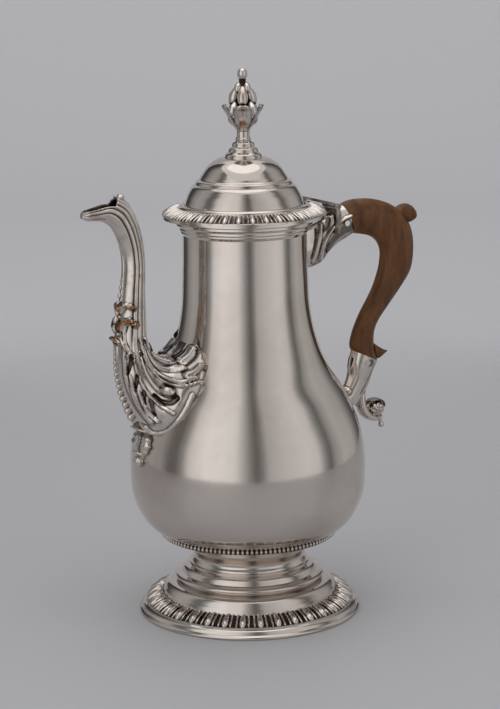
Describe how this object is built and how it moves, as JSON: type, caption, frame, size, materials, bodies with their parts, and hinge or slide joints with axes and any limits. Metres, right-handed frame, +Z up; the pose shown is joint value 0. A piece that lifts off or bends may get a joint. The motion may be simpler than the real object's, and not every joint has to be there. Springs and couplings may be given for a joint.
{
  "type": "coffee pot",
  "caption": "Baluster coffee pot in silver with a fluted swan-neck spout, gadroon borders, a hinged domed lid with a bud finial and a scrolled wooden handle.",
  "frame": {"origin": "centre of the foot's underside, on the surface the pot stands on", "axes": "+Z up along the body's axis, the spout points along -X and the handle along +X"},
  "size_m": [0.2061, 0.1322, 0.305],
  "materials": {
    "silver": "polished silver plate, softly worn",
    "worn_silver": "polished silver plate worn to copper on the high points",
    "pin_metal": "worn pin metal",
    "handle_wood": "old polished fruitwood"
  },
  "bodies": {
    "pot": {"foot_rim_wire": "silver", "foot_shell": "silver", "foot_gadroon_border": "worn_silver", "milled_wire": "worn_silver", "body_vessel": "silver", "body_neck": "silver", "base_disc": "silver", "mouth_moulding": "silver", "handle": "handle_wood", "upper_socket": "silver", "lower_socket": "silver", "scroll_ball": "silver", "upper_handle_pin": "pin_metal", "lower_handle_pin": "pin_metal", "handle_backplate": "silver", "body_hinge_leaf": "silver", "hinge_pin": "pin_metal", "spout": "silver", "spout_beads": "worn_silver", "spout_drop": "worn_silver"},
    "lid": {"lid_bezel": "silver", "lid_dome": "silver", "lid_gadroon_border": "worn_silver", "finial_base": "silver", "finial_stem": "silver", "finial_leaf_cup": "silver", "finial_bud": "silver", "finial_tip": "silver", "finial_screw": "pin_metal", "finial_nut": "pin_metal", "lid_hinge_leaf": "silver"}
  },
  "joints": [
    {"name": "lid_hinge", "type": "hinge", "parent": "pot", "child": "lid", "pos_m": [0.0545, 0, 0.2258], "axis": [0, 1, 0], "range_deg": [0, 115]}
  ]
}
